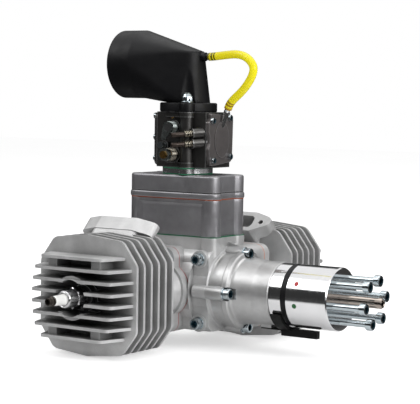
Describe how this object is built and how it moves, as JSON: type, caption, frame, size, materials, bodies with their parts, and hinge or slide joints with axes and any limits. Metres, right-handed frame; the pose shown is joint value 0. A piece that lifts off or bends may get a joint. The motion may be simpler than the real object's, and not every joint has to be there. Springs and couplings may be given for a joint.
{
  "type": "opposed twin two-stroke aircraft engine",
  "caption": "Flat opposed two-stroke aero engine with staggered finned cylinders, intake tower, diaphragm carburettor, side-facing velocity stack and long bolted propeller hub.",
  "frame": {"origin": "centre of the propeller hub's front face, on the crank axis", "axes": "+X along the crank to the propeller, -Y to the near cylinder, +Z to the carburettor"},
  "size_m": [0.2379, 0.2982, 0.2462],
  "materials": {
    "cast": "matt, sand-cast",
    "machined": "polished, turned",
    "dark_cast": "satin, die-cast",
    "grey_cast": "satin, milled",
    "zinc_screw": "zinc plated",
    "steel": "ground",
    "ring_steel": "ground",
    "bronze_steel": "browned",
    "brass": "satin",
    "insulator": "glazed",
    "red_paper": "matt",
    "green_paper": "matt",
    "brown_paper": "matt",
    "black_plastic": "fine matt",
    "reed_plastic": "matt",
    "seal_rubber": "matt",
    "hose": "clear yellow, soft"
  },
  "bodies": {
    "engine": {"crankcase": "cast", "front_housing": "cast", "housing_bolts": "zinc_screw", "case_screws": "zinc_screw", "main_bearings": "steel", "crank_seal": "seal_rubber", "near_cylinder": "cast", "far_cylinder": "cast", "base_gaskets": "red_paper", "cylinder_bolts": "zinc_screw", "plug_shells": "machined", "plug_insulators": "insulator", "plug_terminals": "steel", "paper_gaskets": "green_paper", "intake_box": "grey_cast", "reed_plate": "dark_cast", "reed_cages": "reed_plastic", "reed_petals": "reed_plastic", "intake_cap": "grey_cast", "reed_plate_gaskets": "brown_paper", "tower_bolts": "zinc_screw", "carb_spacer": "machined", "carb_body": "dark_cast", "pump_cover": "dark_cast", "metering_cover": "dark_cast", "carb_studs": "zinc_screw", "velocity_stack": "black_plastic", "carb_nipple": "machined", "vent_tube": "hose", "carb_springs": "brass", "sensor_bracket": "black_plastic", "hall_sensor": "black_plastic"},
    "crank": {"crankshaft_front": "steel", "center_web": "steel", "crankshaft_rear": "steel", "inner_races": "steel", "timing_collar": "machined", "hub_ring": "black_plastic", "prop_hub": "machined", "prop_bolts": "zinc_screw", "prop_stud": "bronze_steel"},
    "near_piston_set": {"near_piston": "machined", "near_rings": "ring_steel", "near_wrist_pin": "steel"},
    "near_rod": {"near_conrod": "steel", "near_crankpin": "steel"},
    "far_piston_set": {"far_piston": "machined", "far_rings": "ring_steel", "far_wrist_pin": "steel"},
    "far_rod": {"far_conrod": "steel", "far_crankpin": "steel"},
    "throttle": {"throttle_shaft": "brass", "throttle_plate": "brass", "throttle_lever": "steel"},
    "choke": {"choke_shaft": "steel", "choke_plate": "brass", "choke_lever": "steel"},
    "high_needle": {"high_needle": "bronze_steel"},
    "low_needle": {"low_needle": "bronze_steel"},
    "idle_screw": {"idle_screw": "zinc_screw"}
  },
  "joints": [
    {"name": "crank_spin", "type": "hinge", "parent": "engine", "child": "crank", "pos_m": [0, 0, 0], "axis": [1, 0, 0], "continuous": true},
    {"name": "near_piston_slide", "type": "slide", "parent": "engine", "child": "near_piston_set", "axis": [0, 1, 0], "range_m": [0, 0.035]},
    {"name": "far_piston_slide", "type": "slide", "parent": "engine", "child": "far_piston_set", "axis": [0, -1, 0], "range_m": [0, 0.035]},
    {"name": "near_rod_swing", "type": "hinge", "parent": "near_piston_set", "child": "near_rod", "pos_m": [-0.1585, -0.0735, 0], "axis": [1, 0, 0], "range_deg": [-18.2, 18.2]},
    {"name": "far_rod_swing", "type": "hinge", "parent": "far_piston_set", "child": "far_rod", "pos_m": [-0.1215, 0.0735, 0], "axis": [1, 0, 0], "range_deg": [-18.2, 18.2]},
    {"name": "throttle_turn", "type": "hinge", "parent": "engine", "child": "throttle", "pos_m": [-0.14, 0, 0.1037], "axis": [0, 1, 0], "range_deg": [0, 78]},
    {"name": "choke_turn", "type": "hinge", "parent": "engine", "child": "choke", "pos_m": [-0.14, 0, 0.1247], "axis": [0, -1, 0], "range_deg": [0, 78]},
    {"name": "high_needle_turn", "type": "hinge", "parent": "engine", "child": "high_needle", "pos_m": [-0.1197, -0.0195, 0.1206], "axis": [-0.5995, -0.7956, -0.0872], "continuous": true},
    {"name": "low_needle_turn", "type": "hinge", "parent": "engine", "child": "low_needle", "pos_m": [-0.1197, -0.0195, 0.1129], "axis": [-0.5995, -0.7956, -0.0872], "continuous": true},
    {"name": "idle_screw_turn", "type": "hinge", "parent": "engine", "child": "idle_screw", "pos_m": [-0.148, -0.017, 0.1107], "axis": [0, -1, 0], "continuous": true}
  ],
  "couplings": [
    {"joint": "far_piston_slide", "follows": "near_piston_slide", "ratio": 1}
  ]
}
